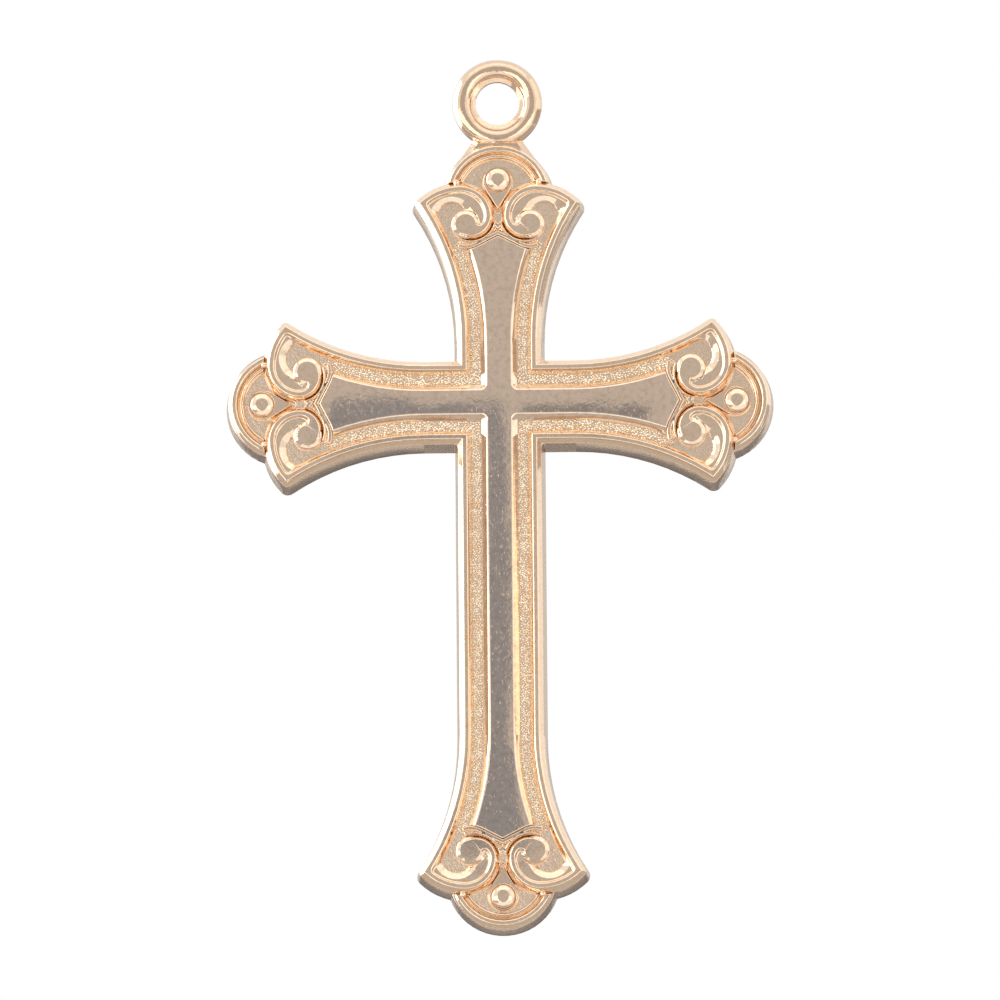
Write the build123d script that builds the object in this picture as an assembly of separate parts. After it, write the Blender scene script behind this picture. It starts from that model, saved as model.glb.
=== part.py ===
from build123d import *
from math import asin, atan, cos, degrees, radians, sin
import os

# A plated cross pendant with scrolled arm ends and a fixed hanging ring.
# It hangs upright: +Z up, its face toward -Y, the origin in the middle of the ring's hole.
# The pieces are drawn lying face up, with the crossing of the arms at the origin and the back
# on Z = 0, and are stood upright when they are written.

# Overall sizes
thickness = 1.80  # back face to the polished rims
arm_width = 3.60  # each arm across its back, between the flares
head_reach = 8.05  # crossing to the tips of the head's shoulders
side_reach = 8.52
foot_reach = 18.85
ring_drop = 12.14  # ring centre down to the crossing

# Side walls and the flared arm ends
wall_draft = 0.14  # how far the side walls lean in from the back face to the border
flare_radius = 9.60
flare_length = 5.50
tip_radius = 0.35  # rounding of a shoulder's tip, at the back face

# Border: a polished rim with a sloping shoulder on each side, curled into a scroll at each end
border_height = 0.28
border_slope = 0.18
rim_width = 0.18
shoulder_radius = 2.30

web_top = 0.40  # where the scrolls' walls meet, this far inside the tips

# Scroll: the rim curls in along tangent arcs, thins out and runs into a round eye
scroll_centre = (1.50, -0.58)  # across from the arm's middle line, and out from the tips
scroll_radii = (1.21, 0.78)  # outer edge of the rim
scroll_hollows = (1.03, 0.47)  # inner edge of the rim
scroll_turns = (90, 180, 305)  # where each arc takes over and the last ends, in degrees
eye_radius = 0.40
eye_chamfer = 0.10  # how far its broad edge slopes down from the level of the rim

# Shelf inside the scroll's recess: it slopes down all round a shallow pit by the eye
shelf_height = 0.17
shelf_start = 1.00  # how far inside the tips it starts
pit_centre = (1.84, -0.66)  # across from the arm's middle line, and out from the tips
pit_radius = 0.60
pit_slope = 0.30

# Panel: the raised plain cross in the middle
panel_height = 0.26
panel_width = 1.49  # across its foot
panel_slope = 0.26
panel_end_radius = 1.00  # its scooped ends follow the scrolls' eyes
panel_point = 1.33  # how far inside the tips its end points lie
panel_point_radius = 0.20

# Moulding between the scrolls and the panel's end: a broad and a fine bead on a thin plate
moulding_plate = 0.12
bead_height = 0.23
bead_width = 0.17
fine_bead_width = 0.09
moulding_top = 0.50  # how far inside the tips its cusp lies
moulding_sweep = 290  # where its tails end, in degrees round the scroll's eye
seat_gap = 0.02

# Lobe beyond the shoulders
lobe_radius = 2.28  # at the back face
lobe_centres = {"head": 0.25, "left": 0.10, "foot": 0.05, "right": 0.10}  # beyond the tips
lobe_step = 0.22  # its ground lies this far below the border's foot
lobe_rim_height = 0.30
lobe_rim_width = 0.18
lobe_slope = 0.13
lobe_ridge_radius = 1.50  # inside
lobe_ridge_width = 0.10
lobe_ridge_height = 0.24
lobe_ridge_slope = 0.08

# Drop-shaped boss in the lobe, with a raised button
boss_centre = 0.86
boss_radius = 0.64
boss_height = 0.20
boss_slope = 0.06
boss_point = 0.36  # its point lies this far inside the tips
dish_radius = 0.50
dish_depth = 0.10
button_centre = 0.93
button_radius = 0.46
button_flat_radius = 0.25
button_chamfer = 0.10
button_height = 0.35

# Hanging ring
ring_radius = 1.39
wire_radius = 0.40
hole_radius = 0.87
hole_depth = 0.27
lip_radius = 1.26  # the lip round the hole thickens out to here
lip_depth = 0.56
neck_width = 2.06
neck_depth = 0.64
neck_slope = 0.24
neck_waist = 1.56  # where it starts to spread, below the ring's centre
neck_spread = 3.36  # across its foot, in the lobe
neck_foot = 2.48  # below the ring's centre

border_foot = thickness - border_height
lobe_ground = border_foot - lobe_step
rim_inset = wall_draft + border_slope
channel_inset = rim_inset + rim_width
ground_inset = wall_draft * lobe_ground / border_foot
upright = Pos(0, thickness / 2, -ring_drop) * Rot(X=90)
on_foot = (Align.CENTER, Align.CENTER, Align.MIN)

# Arm ends, anticlockwise: the turn that points an end's own +Y along the arm, and its reach
ends = {
    "head": (0, head_reach),
    "left": (90, side_reach),
    "foot": (180, foot_reach),
    "right": (270, side_reach),
}
corners = {
    "border_upper_left": ("head", "left"),
    "border_lower_left": ("left", "foot"),
    "border_lower_right": ("foot", "right"),
    "border_upper_right": ("right", "head"),
}


def direction(angle):
    return Vector(cos(radians(angle)), sin(radians(angle)))


def disc(centre, radius):
    return Pos(centre[0], centre[1]) * Circle(radius)


def block(left, bottom, right, top):
    return Pos((left + right) / 2, (bottom + top) / 2) * Rectangle(right - left, top - bottom)


def sector(centre, radius, start, stop):
    """The slice of a disc between two angles."""
    middle = Vector(centre[0], centre[1])
    rays = [start + (stop - start) * share / 4 for share in range(5)]
    fan = [middle] + [middle + direction(ray) * 3 * radius for ray in rays]
    return disc(centre, radius) & make_face(Polyline(*fan, close=True))


def both_sides(shape):
    return shape + mirror(shape, Plane.YZ)


def raised(outline, bottom, height, slope):
    """A plate on the outline whose edges lean in by slope over its height."""
    angle = degrees(atan(slope / height))
    plates = [extrude(face, height, taper=angle) for face in outline.faces()]
    return Pos(0, 0, bottom) * (plates[0] + plates[1:])


def at_end(name):
    turn, reach = ends[name]
    return Rot(Z=turn) * Pos(0, reach)


def at_lobe(name):
    return at_end(name) * Pos(0, lobe_centres[name])


def button(centre, radius, bottom, top, flat_radius, chamfer):
    """A round post with a broad chamfer round its flat top."""
    post = Pos(*centre, bottom) * Cylinder(radius, top - chamfer - bottom, align=on_foot)
    return post + Pos(*centre, top - chamfer) * Cone(radius, flat_radius, chamfer, align=on_foot)


# Outlines of an arm end, in its own frame: +Y out along the arm, 0 on the line of the tips


def flank(inset, reach, start=0.0):
    """One half of an arm, from its middle line to its flared side."""
    half = arm_width / 2
    slab = block(0, start - reach, half + flare_length, flare_length)
    hollow = disc((half + flare_radius, -flare_length), flare_radius + inset)
    waste = block(half - inset, -reach - 1, half + 2 * flare_length, -flare_length)
    return slab - hollow - waste


def arc_centres(radii):
    """Centres of a chain of arcs round the scroll, each tangent to the one before it."""
    centres = [Vector(*scroll_centre)]
    for radius, shorter, turn in zip(radii, radii[1:], scroll_turns[1:]):
        centres.append(centres[-1] + direction(turn) * (radius - shorter))
    return [(centre.X, centre.Y) for centre in centres]


def eye_centre():
    """The rim's outer edge runs on round the eye."""
    last = arc_centres(scroll_radii)[-1]
    inward = direction(scroll_turns[-1]) * (scroll_radii[-1] - eye_radius)
    return (last[0] + inward.X, last[1] + inward.Y)


def winding(radii, grow):
    spans = zip(arc_centres(radii), radii, scroll_turns, scroll_turns[1:])
    return [sector(centre, radius + grow, start, stop) for centre, radius, start, stop in spans]


def shoulder_centre():
    return (scroll_centre[0], scroll_centre[1] + scroll_radii[0] - shoulder_radius)


def round_tip(outline, radius):
    tip = outline.vertices().sort_by(Axis.X)[-1]
    return fillet(tip, radius)


def half_outline(inset, reach):
    """One half of an arm out to its shoulder, inset from the outline at the back face."""
    grow = rim_inset - inset
    centre = shoulder_centre()
    shoulder = sector(centre, shoulder_radius + grow, 0, 90)
    curl = disc(scroll_centre, scroll_radii[0] + grow) & block(0, -2, scroll_centre[0], 2)
    stem = block(0, -reach, arm_width + flare_length, -web_top - inset)
    side = flank(inset, reach)
    return round_tip((shoulder + stem) & side, tip_radius - inset) + curl


def cross_outline(inset):
    halves = [at_end(name) * both_sides(half_outline(inset, reach)) for name, (_, reach) in ends.items()]
    return halves[0] + halves[1:]


def half_border(grow, reach):
    """One half of an arm's rim and its scroll, grown from the outline of the polished top."""
    centre = shoulder_centre()
    start = arm_width / 2 - channel_inset - grow
    rim = flank(rim_inset - grow, reach, start) - flank(channel_inset + grow, reach)
    shoulder_disc = disc(centre, shoulder_radius + grow)
    rim = rim & (shoulder_disc + block(0, -reach - 1, arm_width + flare_length, centre[1]))
    shoulder = sector(centre, shoulder_radius + grow, 0, 90)
    shoulder = (shoulder - disc(centre, shoulder_radius - rim_width - grow)) & flank(rim_inset - grow, reach)
    filled = winding(scroll_radii, grow)
    scroll = filled[0] + filled[1:] - winding(scroll_hollows, -grow) + disc(eye_centre(), eye_radius + grow)
    return round_tip(rim + shoulder, tip_radius - rim_inset + grow) + scroll


def scroll_body(grow):
    """Everything the scroll covers on the panel's side, with its recess filled."""
    return disc(eye_centre(), eye_radius + grow) + winding(scroll_radii, grow)


def scoop(inset):
    """The scrolled side of the panel's end on one half, inset from the panel."""
    round_end = disc(eye_centre(), panel_end_radius - inset)
    point = disc((0, panel_point_radius - panel_point), panel_point_radius - inset)
    return make_hull(round_end.edges() + point.edges())


# Pieces, lying face up


def back_plate():
    plate = raised(cross_outline(0), 0, border_foot, wall_draft)
    lobe_blank = Cone(lobe_radius, lobe_radius - ground_inset, lobe_ground, align=on_foot)
    return plate + [at_lobe(name) * lobe_blank for name in ends]


def recess(reach):
    """The hollow inside a scroll, out to the middle of the rim that walls it."""
    depth = rim_width / 2
    hollow = disc(scroll_centre, scroll_radii[0] - depth)
    corner = sector(shoulder_centre(), shoulder_radius - depth, 0, 90)
    reached = block(0, -shelf_start, arm_width + flare_length, flare_length)
    return (corner + hollow) & reached & flank(channel_inset - depth, reach)


def half_shelf(reach):
    pit = Cone(pit_radius, pit_radius + pit_slope, shelf_height, align=on_foot)
    return Pos(0, 0, border_foot) * (extrude(recess(reach), shelf_height) - Pos(*pit_centre) * pit)


def border_half(name):
    """The border along one side of an arm, from the crossing to its scroll's eye."""
    reach = ends[name][1]
    rim = raised(half_border(border_slope, reach), border_foot, border_height, border_slope)
    eye = button(eye_centre(), eye_radius + border_slope, border_foot, thickness, eye_radius, eye_chamfer)
    return rim + eye + half_shelf(reach)


def border(first, second):
    return at_end(first) * mirror(border_half(first), Plane.YZ) + at_end(second) * border_half(second)


def centre_panel():
    inset = (arm_width - panel_width) / 2
    bars = [at_end(name) * both_sides(flank(inset, reach)) for name, (_, reach) in ends.items()]
    slab = raised(bars[0] + bars[1:], border_foot, panel_height, panel_slope)
    blunt = block(-foot_reach, panel_point_radius - panel_point, foot_reach, foot_reach)
    waste = [at_end(name) * (both_sides(scoop(0)) + blunt) for name in ends]
    return slab - Pos(0, 0, border_foot) * extrude(waste[0] + waste[1:], panel_height)


def moulding(name):
    tail = sector(eye_centre(), 2 * arm_width, moulding_sweep, 450)
    room = block(0, -2 * arm_width, arm_width, -moulding_top) - tail - scroll_body(border_slope)
    room = room & scoop(seat_gap)
    inner = room - scoop(seat_gap + bead_width)
    outer = room & scroll_body(border_slope + fine_bead_width)
    plate = Pos(0, 0, border_foot) * extrude(both_sides(room), moulding_plate)
    beads = Pos(0, 0, border_foot) * extrude(both_sides(inner + outer), bead_height)
    return at_end(name) * (plate + beads)


def lobe(name):
    centre = (0, lobe_centres[name])
    edge = lobe_radius - ground_inset
    above = block(-edge, 0, edge, lobe_radius + edge)
    shoulders = both_sides(half_outline(ground_inset - seat_gap, ends[name][1]))
    shoulders = Pos(0, 0, lobe_ground) * extrude(shoulders, lobe_rim_height)

    def arch(inner, width, height, slope):
        outline = disc(centre, inner + width + 2 * slope) - disc(centre, inner)
        return raised(outline & above, lobe_ground, height, slope)

    rim = arch(edge - lobe_rim_width - 2 * lobe_slope, lobe_rim_width, lobe_rim_height, lobe_slope)
    ridge = arch(lobe_ridge_radius, lobe_ridge_width, lobe_ridge_height, lobe_ridge_slope)
    return at_end(name) * (rim + ridge - shoulders)


def boss(name):
    point_angle = asin(boss_radius / (boss_centre + boss_point))
    touch_x = boss_radius * cos(point_angle)
    touch_y = boss_centre - boss_radius * sin(point_angle)
    middle = (0, boss_centre)
    tail = make_face(Polyline((0, -boss_point), (touch_x, touch_y), middle, (-touch_x, touch_y), close=True))
    body = raised(disc(middle, boss_radius) + tail, lobe_ground, boss_height, boss_slope)
    dish_foot = lobe_ground + boss_height - dish_depth
    dish = Pos(0, button_centre, dish_foot) * Cylinder(dish_radius, dish_depth, align=on_foot)
    top = lobe_ground + button_height
    post = button((0, button_centre), button_radius, dish_foot, top, button_flat_radius, button_chamfer)
    return at_end(name) * (body - dish + post)


def hanging_ring(seats):
    lip = [(hole_radius, hole_depth), (lip_radius, lip_depth), (lip_radius, -lip_depth), (hole_radius, -hole_depth)]
    lip = make_face(Polyline(*[(radius, depth / 2) for radius, depth in lip], close=True))
    wire = revolve(Plane.XZ * (Pos(ring_radius, 0) * Circle(wire_radius) + lip), Axis.Z)
    half = neck_width / 2
    flare = neck_spread / 2
    corners = [(half, -ring_radius), (half, -neck_waist), (flare, -neck_foot)]
    corners += [(-across, down) for across, down in reversed(corners)]
    neck = raised(make_face(Polyline(*corners, close=True)), 0, neck_depth / 2, neck_slope)
    ring = wire + neck + mirror(neck, Plane.XY) - Cylinder(hole_radius, 2 * thickness)
    return Pos(0, ring_drop, thickness / 2) * ring - seats


def build():
    pieces = {"back_plate": back_plate(), "centre_panel": centre_panel()}
    for name, (first, second) in corners.items():
        pieces[name] = border(first, second)
    for name in ends:
        pieces[f"{name}_moulding"] = moulding(name)
        pieces[f"{name}_lobe"] = lobe(name)
        pieces[f"{name}_boss"] = boss(name)
    pieces["hanging_ring"] = hanging_ring([pieces["back_plate"], pieces["head_lobe"]])
    return pieces


os.makedirs("parts", exist_ok=True)
for name, piece in build().items():
    export_step(upright * piece, f"parts/{name}.step")
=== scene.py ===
import math
import bmesh
import bpy
from mathutils import Matrix, Vector


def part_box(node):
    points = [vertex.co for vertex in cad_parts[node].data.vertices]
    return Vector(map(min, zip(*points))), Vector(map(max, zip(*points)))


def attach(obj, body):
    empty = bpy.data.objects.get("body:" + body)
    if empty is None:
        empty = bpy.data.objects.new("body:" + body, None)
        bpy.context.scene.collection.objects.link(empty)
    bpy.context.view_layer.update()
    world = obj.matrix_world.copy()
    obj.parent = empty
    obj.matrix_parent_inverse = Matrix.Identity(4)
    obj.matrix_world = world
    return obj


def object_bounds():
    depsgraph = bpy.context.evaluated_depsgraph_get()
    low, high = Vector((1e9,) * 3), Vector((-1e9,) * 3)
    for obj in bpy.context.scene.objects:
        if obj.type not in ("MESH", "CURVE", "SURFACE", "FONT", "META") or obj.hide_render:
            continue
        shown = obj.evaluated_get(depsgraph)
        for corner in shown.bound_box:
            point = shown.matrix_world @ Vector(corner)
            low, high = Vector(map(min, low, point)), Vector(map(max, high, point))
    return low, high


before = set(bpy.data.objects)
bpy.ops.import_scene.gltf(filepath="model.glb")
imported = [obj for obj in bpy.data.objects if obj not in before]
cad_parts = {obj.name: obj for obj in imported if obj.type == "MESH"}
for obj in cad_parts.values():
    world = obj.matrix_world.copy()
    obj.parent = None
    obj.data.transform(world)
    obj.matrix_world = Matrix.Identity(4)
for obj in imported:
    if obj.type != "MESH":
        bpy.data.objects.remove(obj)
cad_box = [list(corner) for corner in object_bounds()]

# ---------------------------------------------------------------------------------------------
# Back plate
# The body of the cross: one brass casting with a flat back and lightly drafted walls, plated in
# pale rose gold. Every rim, moulding and boss grows out of its front, which is left as cast.
# ---------------------------------------------------------------------------------------------

pale_gold = (0.94, 0.75, 0.575)
# The second, warmer gold darkens the hollows of the skin: painted shade.
hollow_shade_gold = (0.91, 0.65, 0.43)


def new_group(name, inputs, outputs):
    """An empty shader group with its input and output nodes."""
    group = bpy.data.node_groups.new(name, "ShaderNodeTree")
    for socket, kind, start in inputs:
        made = group.interface.new_socket(socket, in_out="INPUT", socket_type=kind)
        if start is not None:
            made.default_value = start
    for socket, kind in outputs:
        group.interface.new_socket(socket, in_out="OUTPUT", socket_type=kind)
    return group, group.nodes.new("NodeGroupInput"), group.nodes.new("NodeGroupOutput")


def reciprocal(tree, value):
    node = tree.nodes.new("ShaderNodeMath")
    node.operation = "DIVIDE"
    node.inputs[0].default_value = 1.0
    tree.links.new(value, node.inputs[1])
    return node.outputs[0]


def build_polish_waves():
    """The slow swell that a polishing wheel leaves in a flat."""
    sockets = [("Place", "NodeSocketVector", None), ("Length", "NodeSocketFloat", 0.002)]
    group, given, result = new_group("polish_waves", sockets, [("Height", "NodeSocketFloat")])
    swell = group.nodes.new("ShaderNodeTexNoise")
    swell.inputs["Detail"].default_value = 1.0
    group.links.new(given.outputs["Place"], swell.inputs["Vector"])
    group.links.new(reciprocal(group, given.outputs["Length"]), swell.inputs["Scale"])
    group.links.new(swell.outputs["Fac"], result.inputs["Height"])
    return group


def build_fine_scratches():
    """Short rubs: noise drawn out a little along three slants and cut to its crests."""
    sockets = [
        ("Place", "NodeSocketVector", None),
        ("Width", "NodeSocketFloat", 0.00005),
        ("Cover", "NodeSocketFloat", 0.68),
    ]
    outputs = [("Height", "NodeSocketFloat"), ("Scratched", "NodeSocketFloat")]
    group, given, result = new_group("fine_scratches", sockets, outputs)
    fineness = reciprocal(group, given.outputs["Width"])
    whole_scratch = 0.85
    layers = []
    for slant, stretch in ((-0.12, 0.30), (0.30, 0.42), (0.95, 0.36)):
        turned = group.nodes.new("ShaderNodeMapping")
        turned.inputs["Rotation"].default_value = (0, slant, 0)
        turned.inputs["Location"].default_value = (slant, 0, stretch)
        turned.inputs["Scale"].default_value = (1, 1, stretch)
        group.links.new(given.outputs["Place"], turned.inputs["Vector"])
        hairs = group.nodes.new("ShaderNodeTexNoise")
        hairs.inputs["Detail"].default_value = 1.0
        group.links.new(turned.outputs["Vector"], hairs.inputs["Vector"])
        group.links.new(fineness, hairs.inputs["Scale"])
        crest = group.nodes.new("ShaderNodeMapRange")
        crest.inputs["From Max"].default_value = whole_scratch
        group.links.new(hairs.outputs["Fac"], crest.inputs["Value"])
        group.links.new(given.outputs["Cover"], crest.inputs["From Min"])
        layers.append(crest.outputs["Result"])
    joined = group.nodes.new("ShaderNodeMath")
    joined.operation = "MAXIMUM"
    group.links.new(layers[0], joined.inputs[0])
    group.links.new(layers[1], joined.inputs[1])
    every = group.nodes.new("ShaderNodeMath")
    every.operation = "MAXIMUM"
    group.links.new(joined.outputs[0], every.inputs[0])
    group.links.new(layers[2], every.inputs[1])
    sunk = group.nodes.new("ShaderNodeMath")
    sunk.operation = "SUBTRACT"
    sunk.inputs[0].default_value = 1.0
    group.links.new(every.outputs[0], sunk.inputs[1])
    group.links.new(sunk.outputs[0], result.inputs["Height"])
    group.links.new(every.outputs[0], result.inputs["Scratched"])
    return group


def build_cast_skin():
    """The orange-peel skin that metal takes from its mould, and the mask of its hollows for painted
    shade.
    """
    sockets = [("Place", "NodeSocketVector", None), ("Grain", "NodeSocketFloat", 0.0001)]
    outputs = [("Height", "NodeSocketFloat"), ("HollowShade", "NodeSocketFloat")]
    group, given, result = new_group("cast_skin", sockets, outputs)
    grain = group.nodes.new("ShaderNodeTexNoise")
    grain.inputs["Detail"].default_value = 3.0
    grain.inputs["Roughness"].default_value = 0.6
    group.links.new(given.outputs["Place"], grain.inputs["Vector"])
    group.links.new(reciprocal(group, given.outputs["Grain"]), grain.inputs["Scale"])
    # The tone darkens where the skin sinks into a hollow: painted shade.
    hollow_start, hollow_floor = 0.55, 0.35
    hollow = group.nodes.new("ShaderNodeMapRange")
    hollow.inputs["From Min"].default_value = hollow_start
    hollow.inputs["From Max"].default_value = hollow_floor
    group.links.new(grain.outputs["Fac"], hollow.inputs["Value"])
    group.links.new(grain.outputs["Fac"], result.inputs["Height"])
    group.links.new(hollow.outputs["Result"], result.inputs["HollowShade"])
    return group


polish_waves = build_polish_waves()
fine_scratches = build_fine_scratches()
cast_skin = build_cast_skin()


def plated(name, gloss, wave, scratch, skin, tones=(pale_gold, hollow_shade_gold)):
    """Plated metal. gloss: roughness, and what a scratch adds; the rest: size and depth, metres."""
    material = bpy.data.materials.new(name)
    material.use_nodes = True
    tree = material.node_tree
    shader = tree.nodes["Principled BSDF"]
    shader.inputs["Metallic"].default_value = 1.0
    place = tree.nodes.new("ShaderNodeTexCoord").outputs["Object"]
    effects = []
    for group, size_name, (size, depth) in (
        (polish_waves, "Length", wave),
        (cast_skin, "Grain", skin),
        (fine_scratches, "Width", scratch),
    ):
        effect = tree.nodes.new("ShaderNodeGroup")
        effect.node_tree = group
        effect.inputs[size_name].default_value = size
        tree.links.new(place, effect.inputs["Place"])
        bump = tree.nodes.new("ShaderNodeBump")
        bump.inputs["Distance"].default_value = depth
        tree.links.new(effect.outputs["Height"], bump.inputs["Height"])
        if effects:
            tree.links.new(effects[-1][1].outputs["Normal"], bump.inputs["Normal"])
        effects.append((effect, bump))
    tree.links.new(effects[-1][1].outputs["Normal"], shader.inputs["Normal"])
    rough = tree.nodes.new("ShaderNodeMapRange")
    rough.inputs["To Min"].default_value = gloss[0]
    rough.inputs["To Max"].default_value = gloss[0] + gloss[1]
    tree.links.new(effects[2][0].outputs["Scratched"], rough.inputs["Value"])
    tree.links.new(rough.outputs["Result"], shader.inputs["Roughness"])
    # The tone turns to the second, darker gold in the skin's hollows: painted shade.
    tone = tree.nodes.new("ShaderNodeMix")
    tone.data_type = "RGBA"
    tone.inputs["A"].default_value = (*tones[0], 1)
    tone.inputs["B"].default_value = (*tones[1], 1)
    tree.links.new(effects[1][0].outputs["HollowShade"], tone.inputs["Factor"])
    tree.links.new(tone.outputs["Result"], shader.inputs["Base Color"])
    return material


def soften_edges(node, radius, crease, merged):
    """Worn, plated edges: creases sharper than crease degrees are rounded, and flats stay flat."""
    weld = node.modifiers.new("weld", "WELD")
    weld.merge_threshold = merged
    edge = node.modifiers.new("edge", "BEVEL")
    edge.limit_method = "ANGLE"
    edge.angle_limit = math.radians(crease)
    edge.width = radius
    edge.segments = 3
    edge.use_clamp_overlap = False
    edge.loop_slide = False
    edge.harden_normals = True


def finish_node(name, material, radius, crease=24, merged=0.00001):
    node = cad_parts[name]
    for slot in node.material_slots:
        slot.material = material
    soften_edges(node, radius, crease, merged)


as_cast = plated(
    "as_cast_gold",
    gloss=(0.20, 0.10),
    wave=(0.0015, 0.000010),
    scratch=(0.00006, 0.0000015),
    skin=(0.00012, 0.000008),
)
finish_node("back_plate", as_cast, radius=0.00003)

# ---------------------------------------------------------------------------------------------
# Centre panel
# The raised plain cross in the middle, with sloping sides. It is the same casting, polished on
# a wheel after plating, so it has a slow swell, its skin is rubbed from wear, and darkened in its
# hollows with painted shade.
# ---------------------------------------------------------------------------------------------

panel_polish = plated(
    "panel_polish",
    gloss=(0.035, 0.30),
    wave=(0.0020, 0.000008),
    scratch=(0.00007, 0.0000003),
    skin=(0.00022, 0.0000008),
    # The second tone is painted shade in the skin's hollows.
    tones=((0.96, 0.755, 0.58), (0.82, 0.64, 0.49)),
)
finish_node("centre_panel", panel_polish, radius=0.00005, merged=0.00002)

# ---------------------------------------------------------------------------------------------
# Borders
# Four polished rims, one in each corner of the cross. Each runs from scroll to scroll along two
# arms, and curls in at both ends round a hollow to end in a round eye.
# ---------------------------------------------------------------------------------------------

rim_polish = plated(
    "rim_polish",
    gloss=(0.07, 0.10),
    wave=(0.0010, 0.000007),
    scratch=(0.00006, 0.0000012),
    skin=(0.00012, 0.0000015),
)
for corner in ("upper_left", "lower_left", "lower_right", "upper_right"):
    finish_node(f"border_{corner}", rim_polish, radius=0.00004, crease=50, merged=0.000012)

# ---------------------------------------------------------------------------------------------
# Mouldings, lobe rims and bosses
# Fine raised work at each arm's end: two beads between scrolls and panel, the rounded lobe's
# rim with its inner ledge and ridge, and a drop-shaped boss with a raised button.
# ---------------------------------------------------------------------------------------------

fine_polish = plated(
    "fine_polish",
    gloss=(0.09, 0.10),
    wave=(0.0007, 0.000006),
    scratch=(0.00006, 0.0000010),
    skin=(0.00010, 0.0000030),
)
for arm in ("head", "left", "foot", "right"):
    finish_node(f"{arm}_moulding", fine_polish, radius=0.00005)
    finish_node(f"{arm}_lobe", rim_polish, radius=0.00005)
    finish_node(f"{arm}_boss", fine_polish, radius=0.00003)

# ---------------------------------------------------------------------------------------------
# Rim knobs
# A small round knob closes each end of a lobe's rim, where it runs out against the shoulder of
# the cross. It is part of the casting, and takes the same polish as the rim.
# ---------------------------------------------------------------------------------------------

knob_radius = 0.00013
knob_rise = 0.00005  # above the lobe's rim
end_depth = 0.00012  # how much of a rim counts as its end
cross_middle = (Vector(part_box("centre_panel")[0]) + Vector(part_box("centre_panel")[1])) / 2
knob_shapes = bmesh.new()
for arm, across_arm in (("head", 0), ("left", 2), ("foot", 0), ("right", 2)):
    along_arm = 2 - across_arm
    lobe_low, lobe_high = (Vector(corner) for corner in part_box(f"{arm}_lobe"))
    lobe_middle = (lobe_low + lobe_high) / 2
    inward = 1 if lobe_middle[along_arm] < cross_middle[along_arm] else -1
    inner_end = lobe_high[along_arm] if inward == 1 else lobe_low[along_arm]
    for side in (-1, 1):
        end = [
            vertex.co
            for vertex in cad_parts[f"{arm}_lobe"].data.vertices
            if abs(vertex.co[along_arm] - inner_end) < end_depth
            and (vertex.co[across_arm] - lobe_middle[across_arm]) * side > 0
        ]
        place = sum(end, Vector()) / len(end)
        place.y = lobe_low.y - knob_rise + knob_radius
        ball = Matrix.Translation(place)
        bmesh.ops.create_icosphere(knob_shapes, subdivisions=3, radius=knob_radius, matrix=ball)
for face in knob_shapes.faces:
    face.smooth = True
knob_mesh = bpy.data.meshes.new("rim_knobs")
knob_shapes.to_mesh(knob_mesh)
knob_shapes.free()
knob_mesh.materials.append(rim_polish)
rim_knobs = bpy.data.objects.new("rim_knobs", knob_mesh)
bpy.context.collection.objects.link(rim_knobs)
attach(rim_knobs, "root")

# ---------------------------------------------------------------------------------------------
# Hanging ring
# A round wire ring with a flared hole and a short flat neck, soldered to the head's lobe before
# plating, so it has the same gold skin; its tones are a shade darker, painted shade for its curved
# section.
# ---------------------------------------------------------------------------------------------

ring_polish = plated(
    "ring_polish",
    gloss=(0.07, 0.10),
    wave=(0.0009, 0.000010),
    scratch=(0.00006, 0.0000012),
    skin=(0.00014, 0.0000025),
    # Both tones are darker than the rest of the plating: painted shade over the whole ring.
    tones=((0.84, 0.65, 0.49), (0.84, 0.58, 0.37)),
)
finish_node("hanging_ring", ring_polish, radius=0.00001, merged=0.000002)

# ---------------------------------------------------------------------------------------------
# Channel grain
# The ground between panel and borders is stippled: fine grains of metal left standing by the
# mould, which catch the light, and whose paler tone is a painted sheen. They sit on the back plate
# and are cast with it.
# ---------------------------------------------------------------------------------------------

grain_polish = plated(
    "grain_polish",
    gloss=(0.26, 0.10),
    wave=(0.0007, 0.0),
    scratch=(0.00006, 0.0),
    skin=(0.00020, 0.0),
    # The first tone is paler than the plating: a painted sheen that brightens the grains.
    tones=((1.0, 0.92, 0.78), (0.90, 0.68, 0.44)),
)
densest = 1e9  # grains per square metre, so many that only the spacing limits them
step_back = 0.0001  # where a look for relief starts, behind the ground
look_ahead = 0.001  # how far in front of that relief still hides the ground


def joined_copy(name, sources):
    """One merged mesh of several pieces of the casting, to measure against."""
    corners, faces = [], []
    for source in sources:
        start = len(corners)
        corners += [vertex.co.copy() for vertex in source.data.vertices]
        faces += [[start + index for index in face.vertices] for face in source.data.polygons]
    mesh = bpy.data.meshes.new(name)
    mesh.from_pydata(corners, [], faces)
    copy = bpy.data.objects.new(name, mesh)
    bpy.context.collection.objects.link(copy)
    return copy


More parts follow.
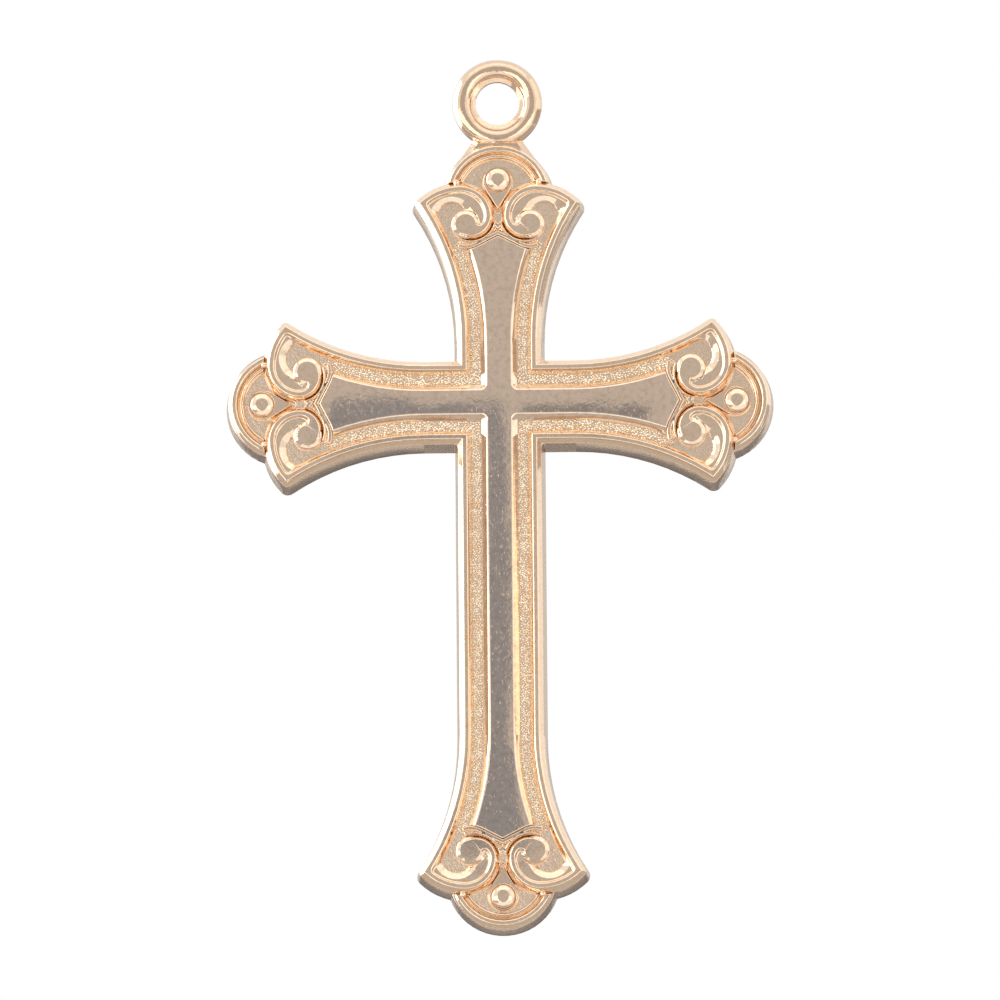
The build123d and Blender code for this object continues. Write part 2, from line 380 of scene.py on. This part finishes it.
def build_stipple():
    """Scatters grains over a sheet, near the panel and where no relief covers it."""
    tree = bpy.data.node_groups.new("stipple", "GeometryNodeTree")
    tree.interface.new_socket("Geometry", in_out="OUTPUT", socket_type="NodeSocketGeometry")
    for socket, kind, start in (
        ("Sheet", "NodeSocketGeometry", None),
        ("Panel", "NodeSocketObject", None),
        ("Relief", "NodeSocketObject", None),
        ("Reach", "NodeSocketFloat", 0.0004),
        ("Spacing", "NodeSocketFloat", 0.0001),
        ("Smallest", "NodeSocketFloat", 0.00004),
        ("Largest", "NodeSocketFloat", 0.00006),
        ("Seed", "NodeSocketInt", 1),
        ("Finish", "NodeSocketMaterial", None),
    ):
        made = tree.interface.new_socket(socket, in_out="INPUT", socket_type=kind)
        if start is not None:
            made.default_value = start
    link = tree.links.new
    given = tree.nodes.new("NodeGroupInput").outputs
    result = tree.nodes.new("NodeGroupOutput").inputs["Geometry"]

    scatter = tree.nodes.new("GeometryNodeDistributePointsOnFaces")
    scatter.distribute_method = "POISSON"
    scatter.inputs["Density Max"].default_value = densest
    link(given["Sheet"], scatter.inputs["Mesh"])
    link(given["Spacing"], scatter.inputs["Distance Min"])
    link(given["Seed"], scatter.inputs["Seed"])

    panel = tree.nodes.new("GeometryNodeObjectInfo")
    link(given["Panel"], panel.inputs["Object"])
    near = tree.nodes.new("GeometryNodeProximity")
    link(panel.outputs["Geometry"], near.inputs["Geometry"])
    far = tree.nodes.new("FunctionNodeCompare")
    far.operation = "GREATER_THAN"
    link(near.outputs["Distance"], far.inputs["A"])
    link(given["Reach"], far.inputs["B"])

    relief = tree.nodes.new("GeometryNodeObjectInfo")
    link(given["Relief"], relief.inputs["Object"])
    place = tree.nodes.new("GeometryNodeInputPosition")
    behind = tree.nodes.new("ShaderNodeVectorMath")
    behind.inputs[1].default_value = (0, step_back, 0)
    link(place.outputs[0], behind.inputs[0])
    cover = tree.nodes.new("GeometryNodeRaycast")
    cover.inputs["Ray Direction"].default_value = (0, -1, 0)
    cover.inputs["Ray Length"].default_value = look_ahead
    link(relief.outputs["Geometry"], cover.inputs["Target Geometry"])
    link(behind.outputs[0], cover.inputs["Source Position"])

    either = tree.nodes.new("FunctionNodeBooleanMath")
    either.operation = "OR"
    link(far.outputs["Result"], either.inputs[0])
    link(cover.outputs["Is Hit"], either.inputs[1])
    keep = tree.nodes.new("GeometryNodeDeleteGeometry")
    keep.domain = "POINT"
    link(scatter.outputs["Points"], keep.inputs["Geometry"])
    link(either.outputs[0], keep.inputs["Selection"])

    grain = tree.nodes.new("GeometryNodeMeshIcoSphere")
    grain.inputs["Radius"].default_value = 1.0
    size = tree.nodes.new("FunctionNodeRandomValue")
    size.data_type = "FLOAT"
    sizes = [socket for socket in size.inputs if socket.enabled and socket.name in ("Min", "Max")]
    link(given["Smallest"], sizes[0])
    link(given["Largest"], sizes[1])
    link(given["Seed"], size.inputs["Seed"])
    spin = tree.nodes.new("FunctionNodeRandomValue")
    spin.data_type = "FLOAT_VECTOR"
    spin.inputs["Max"].default_value = (math.tau, math.tau, math.tau)
    link(given["Seed"], spin.inputs["Seed"])
    stand = tree.nodes.new("GeometryNodeInstanceOnPoints")
    link(keep.outputs["Geometry"], stand.inputs["Points"])
    link(grain.outputs["Mesh"], stand.inputs["Instance"])
    link(size.outputs[1], stand.inputs["Scale"])
    link(spin.outputs[0], stand.inputs["Rotation"])
    real = tree.nodes.new("GeometryNodeRealizeInstances")
    link(stand.outputs["Instances"], real.inputs["Geometry"])
    smooth = tree.nodes.new("GeometryNodeSetShadeSmooth")
    link(real.outputs["Geometry"], smooth.inputs["Geometry"])
    coat = tree.nodes.new("GeometryNodeSetMaterial")
    link(smooth.outputs["Geometry"], coat.inputs["Geometry"])
    link(given["Finish"], coat.inputs["Material"])
    link(coat.outputs["Geometry"], result)
    return tree


relief_names = [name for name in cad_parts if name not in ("back_plate", "hanging_ring")]
relief = joined_copy("relief_measure", [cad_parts[name] for name in relief_names])
panel = joined_copy("panel_measure", [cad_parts["centre_panel"]])
panel_low, panel_high = (Vector(corner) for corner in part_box("centre_panel"))
ground_level = panel_high.y
channel_width = 0.00040
grain_seed = 7
sheet_mesh = bpy.data.meshes.new("channel_sheet")
sheet_mesh.from_pydata(
    [
        (panel_low.x - channel_width, ground_level, panel_low.z - channel_width),
        (panel_high.x + channel_width, ground_level, panel_low.z - channel_width),
        (panel_high.x + channel_width, ground_level, panel_high.z + channel_width),
        (panel_low.x - channel_width, ground_level, panel_high.z + channel_width),
    ],
    [],
    [(0, 1, 2, 3)],
)
sheet = bpy.data.objects.new("channel_sheet", sheet_mesh)
bpy.context.collection.objects.link(sheet)
stipple = build_stipple()
scattering = sheet.modifiers.new("stipple", "NODES")
scattering.node_group = stipple
wanted = {
    "Panel": panel,
    "Relief": relief,
    "Reach": channel_width,
    "Spacing": 0.000072,
    "Smallest": 0.000034,
    "Largest": 0.000064,
    "Seed": grain_seed,
    "Finish": grain_polish,
}
for socket in stipple.interface.items_tree:
    if socket.name in wanted:
        scattering[socket.identifier] = wanted[socket.name]
bpy.context.view_layer.update()
evaluated = sheet.evaluated_get(bpy.context.evaluated_depsgraph_get())
grain_mesh = bpy.data.meshes.new_from_object(evaluated)
grain_mesh.name = "channel_grain"
sheet.modifiers.remove(scattering)
for helper in (sheet, relief, panel):
    bpy.data.objects.remove(helper)
channel_grain = bpy.data.objects.new("channel_grain", grain_mesh)
bpy.context.collection.objects.link(channel_grain)
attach(channel_grain, "root")

# ---------------------------------------------------------------------------------------------
# Studio
# The pendant hangs over a pale floor in white surroundings. A large soft box stands on its left,
# and glowing cards round it, grey to brighter than white and out of sight, give the metal contrast.
# ---------------------------------------------------------------------------------------------

floor_drop = 0.16
floor_size = 4.0
floor_glow = 0.30  # extra light in the floor, for the camera and mirror reflections alone
room_light = 0.6  # how strongly the surroundings light things; seen directly they are 1.0
soft_box_size = (0.55, 0.50)
soft_box_place = (-0.40, 0.06, 0.05)
soft_box_watts = 2.6
middle = (Vector(cad_box[0]) + Vector(cad_box[1])) / 2


def seen_directly(tree):
    """1 for the rays of the camera and of mirror reflections, 0 for those that light things."""
    ray = tree.nodes.new("ShaderNodeLightPath")
    total = ray.outputs["Is Camera Ray"]
    for kind in ("Is Glossy Ray", "Is Transmission Ray"):
        larger = tree.nodes.new("ShaderNodeMath")
        larger.operation = "MAXIMUM"
        tree.links.new(total, larger.inputs[0])
        tree.links.new(ray.outputs[kind], larger.inputs[1])
        total = larger.outputs[0]
    return total


world = bpy.data.worlds.new("studio_world")
bpy.context.scene.world = world
world.use_nodes = True
background = world.node_tree.nodes["Background"]
background.inputs["Color"].default_value = (1, 1, 1, 1)
strength = world.node_tree.nodes.new("ShaderNodeMapRange")
strength.inputs["To Min"].default_value = room_light
strength.inputs["To Max"].default_value = 1.0
world.node_tree.links.new(seen_directly(world.node_tree), strength.inputs["Value"])
world.node_tree.links.new(strength.outputs["Result"], background.inputs["Strength"])

lamp = bpy.data.lights.new("left_soft_box", "AREA")
lamp.shape = "RECTANGLE"
lamp.size, lamp.size_y = soft_box_size
lamp.energy = soft_box_watts
soft_box = bpy.data.objects.new("left_soft_box", lamp)
bpy.context.collection.objects.link(soft_box)
soft_box.location = soft_box_place
soft_box.rotation_euler = (middle - soft_box.location).to_track_quat("-Z", "Y").to_euler()


def card(name, outline, brightness):
    """A glowing card, seen only as a reflection in the metal. Its corners are in metres."""
    mesh = bpy.data.meshes.new(name)
    mesh.from_pydata(outline, [], [tuple(range(len(outline)))])
    made = bpy.data.objects.new(name, mesh)
    bpy.context.collection.objects.link(made)
    made.visible_camera = False
    made.visible_shadow = False
    made.visible_diffuse = False
    material = bpy.data.materials.new(name)
    material.use_nodes = True
    tree = material.node_tree
    tree.nodes.remove(tree.nodes["Principled BSDF"])
    glow = tree.nodes.new("ShaderNodeEmission")
    glow.inputs["Color"].default_value = (*brightness, 1)
    tree.links.new(glow.outputs[0], tree.nodes["Material Output"].inputs["Surface"])
    mesh.materials.append(material)


def across(y, left, right, bottom, top):
    return [(left, y, bottom), (right, y, bottom), (right, y, top), (left, y, top)]


def along(x, front, back, bottom, top):
    return [(x, front, bottom), (x, back, bottom), (x, back, top), (x, front, top)]


def flat(z, left, right, front, back):
    return [(left, front, z), (right, front, z), (right, back, z), (left, back, z)]


sheet_level = -0.157  # just above the floor
table_level = -0.158
top_outline = [(-0.33, -0.35, 0.36), (0.33, -0.35, 0.36), (0.33, -0.12, 0.45), (-0.33, -0.12, 0.45)]
card("front_card", across(-0.35, -0.18, 0.18, -0.12, 0.21), (0.55, 0.54, 0.54))
card("top_card", top_outline, (1.4, 1.36, 1.32))
card("low_left_card", across(-0.34, -0.60, -0.045, -0.16, 0.03), (1.8, 1.76, 1.7))
card("low_left_sheet", flat(sheet_level, -0.14, -0.05, -0.34, -0.14), (1.1, 1.08, 1.06))
card("far_left_sheet", flat(sheet_level, -0.60, -0.14, -0.34, -0.14), (0.55, 0.54, 0.53))
card("low_right_card", across(-0.34, 0.05, 0.40, -0.16, 0.0), (1.6, 1.56, 1.52))
card("low_right_sheet", flat(sheet_level, 0.05, 0.40, -0.34, -0.14), (1.1, 1.08, 1.06))
card("table_card", flat(table_level, -0.35, 0.35, -0.12, 0.28), (0.55, 0.52, 0.50))
card("right_card", along(0.35, -0.30, 0.10, 0.0, 0.35), (1.25, 1.22, 1.18))
card("low_side_card", along(0.35, -0.16, 0.16, -0.15, 0.0), (0.50, 0.48, 0.47))
card("low_back_card", across(0.30, -0.20, 0.20, -0.16, -0.03), (0.22, 0.21, 0.21))
card("far_back_card", across(0.30, 0.20, 0.60, -0.16, 0.03), (0.50, 0.49, 0.48))
card("left_back_card", across(0.34, -0.13, -0.02, -0.02, 0.22), (0.50, 0.49, 0.48))
card("right_back_card", across(0.34, 0.02, 0.13, -0.02, 0.22), (0.60, 0.58, 0.56))

camera_place = -0.040  # the dark camera and its strap, mirrored in the panel from this far in front
camera_outline = (
    (-0.0080, -0.0060),
    (-0.0009, -0.0061),
    (-0.0006, -0.0064),
    (-0.0004, -0.0072),
    (-0.0003, -0.0081),
    (-0.0002, -0.0120),
    (-0.0001, -0.0150),
    (-0.0002, -0.0182),
    (-0.0004, -0.0204),
    (-0.0001, -0.0219),
    (0.0006, -0.0255),
    (-0.0035, -0.0255),
    (-0.0014, -0.0210),
    (-0.0013, -0.0075),
    (-0.0080, -0.0080),
)
card("camera_card", [(x, camera_place, z) for x, z in camera_outline], (0.29, 0.315, 0.37))
card("strap_card", across(camera_place, 0.0002, 0.0056, -0.0072, -0.0063), (0.27, 0.285, 0.32))

floor_mesh = bpy.data.meshes.new("floor")
floor_mesh.from_pydata(
    [
        (-floor_size, -floor_size, -floor_drop),
        (floor_size, -floor_size, -floor_drop),
        (floor_size, floor_size, -floor_drop),
        (-floor_size, floor_size, -floor_drop),
    ],
    [],
    [(0, 1, 2, 3)],
)
floor = bpy.data.objects.new("floor", floor_mesh)
bpy.context.collection.objects.link(floor)
floor_paper = bpy.data.materials.new("floor_paper")
floor_paper.use_nodes = True
paper = floor_paper.node_tree.nodes["Principled BSDF"]
paper.inputs["Base Color"].default_value = (0.90, 0.90, 0.90, 1)
paper.inputs["Roughness"].default_value = 0.9
paper.inputs["Emission Color"].default_value = (1, 1, 1, 1)
glow = floor_paper.node_tree.nodes.new("ShaderNodeMath")
glow.operation = "MULTIPLY"
glow.inputs[1].default_value = floor_glow
floor_paper.node_tree.links.new(seen_directly(floor_paper.node_tree), glow.inputs[0])
floor_paper.node_tree.links.new(glow.outputs[0], paper.inputs["Emission Strength"])
floor_mesh.materials.append(floor_paper)

# ---------------------------------------------------------------------------------------------
# Camera
# A long lens a little below the pendant's middle, turned a hair on its own axis.
# ---------------------------------------------------------------------------------------------

camera_distance = 0.60
camera_drop = math.radians(8.4)
camera_turn = math.radians(1.0)
camera_roll = math.radians(-0.45)
frame_width = 0.0397
frame_middle = Vector((0.0, -0.0009, -0.0161))

camera_data = bpy.data.cameras.new("studio_camera")
camera_data.sensor_width = 36.0
camera_data.lens = camera_data.sensor_width * camera_distance / frame_width
camera_data.clip_start = 0.01
camera_data.clip_end = 20
camera = bpy.data.objects.new("studio_camera", camera_data)
bpy.context.collection.objects.link(camera)
toward_camera = Vector((
    math.sin(camera_turn) * math.cos(camera_drop),
    -math.cos(camera_turn) * math.cos(camera_drop),
    -math.sin(camera_drop),
))
camera.location = frame_middle + toward_camera * camera_distance
look = (-toward_camera).to_track_quat("-Z", "Y").to_matrix()
camera.rotation_euler = (look @ Matrix.Rotation(camera_roll, 3, "Z")).to_euler()
bpy.context.scene.camera = camera
bpy.context.scene.view_settings.view_transform = "Standard"
